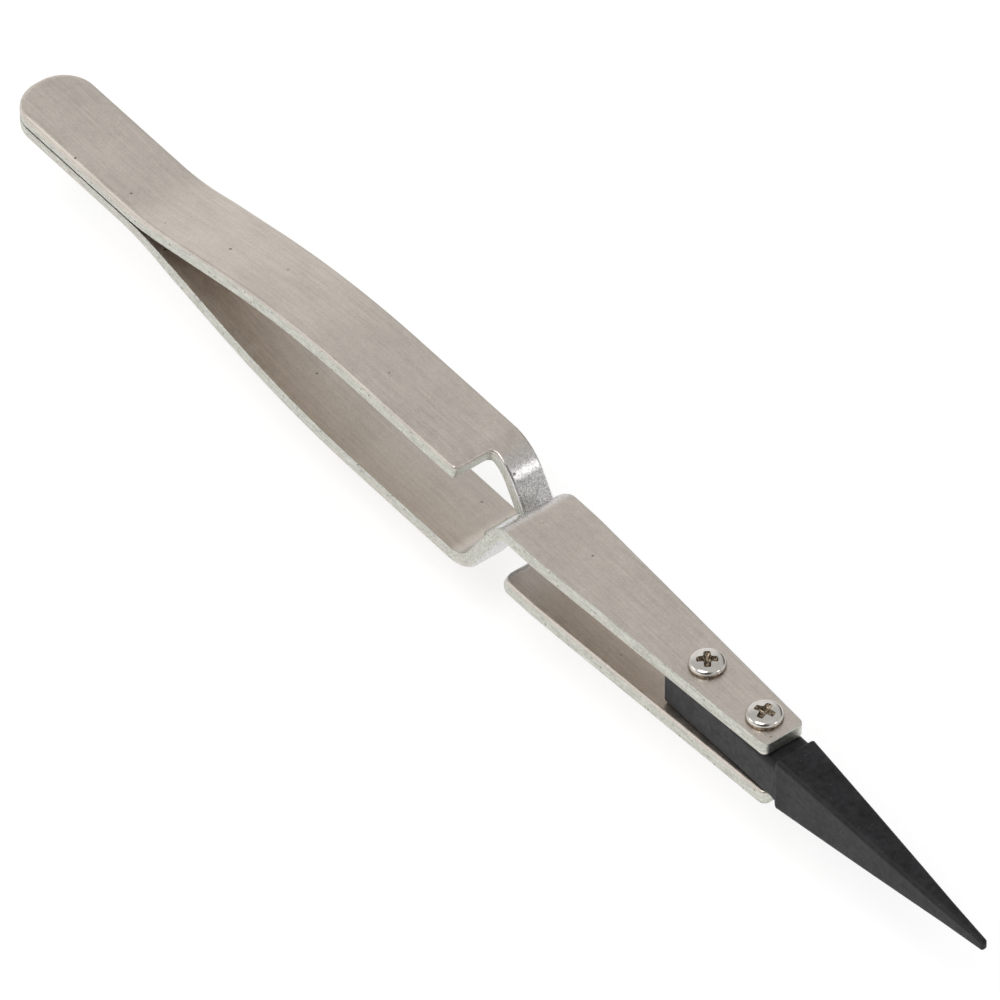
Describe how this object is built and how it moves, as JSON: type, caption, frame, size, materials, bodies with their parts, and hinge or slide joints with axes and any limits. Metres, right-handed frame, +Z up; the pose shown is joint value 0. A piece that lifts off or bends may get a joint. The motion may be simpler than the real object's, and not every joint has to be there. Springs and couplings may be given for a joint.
{
  "type": "cross-lock precision tweezers",
  "caption": "Self-closing cross-lock tweezers bent from sheet steel, with dark replaceable pointed tips held by small pan-head screws; squeezing the handles opens the points.",
  "frame": {"origin": "under the middle of the closed tweezers, on the flat surface that they lie on", "axes": "+X along the tweezers from the tail to the points, +Y across the width of the arms, +Z up, the way the handles stand apart"},
  "size_m": [0.16, 0.009, 0.0142],
  "materials": {
    "arm_steel": "fine satin, warm light grey, with lighter sheared edges",
    "weld_steel": "fused steel",
    "tip_plastic": "carbon-filled, near black, slightly mottled satin",
    "screw_nickel": "bright nickel plate"
  },
  "bodies": {
    "tail": {"thumb_arm_tail": "arm_steel", "finger_arm_tail": "arm_steel", "rear_spot_weld": "weld_steel", "front_spot_weld": "weld_steel"},
    "thumb_side": {"thumb_arm": "arm_steel", "lower_tip": "tip_plastic", "lower_rear_screw": "screw_nickel", "lower_front_screw": "screw_nickel"},
    "finger_side": {"finger_arm": "arm_steel", "upper_tip": "tip_plastic", "upper_rear_screw": "screw_nickel", "upper_front_screw": "screw_nickel"}
  },
  "joints": [
    {"name": "finger_arm_flex", "type": "hinge", "parent": "tail", "child": "finger_side", "pos_m": [-0.042, 0, 0.00322], "axis": [0, -1, 0], "range_deg": [0, 5], "stiffness_Nm_per_rad": 4, "springref_deg": -0.06},
    {"name": "thumb_arm_flex", "type": "hinge", "parent": "tail", "child": "thumb_side", "pos_m": [-0.042, 0, 0.01098], "axis": [0, 1, 0], "range_deg": [0, 5], "stiffness_Nm_per_rad": 4, "springref_deg": -0.06}
  ],
  "couplings": [
    {"joint": "thumb_arm_flex", "follows": "finger_arm_flex", "ratio": 1}
  ]
}
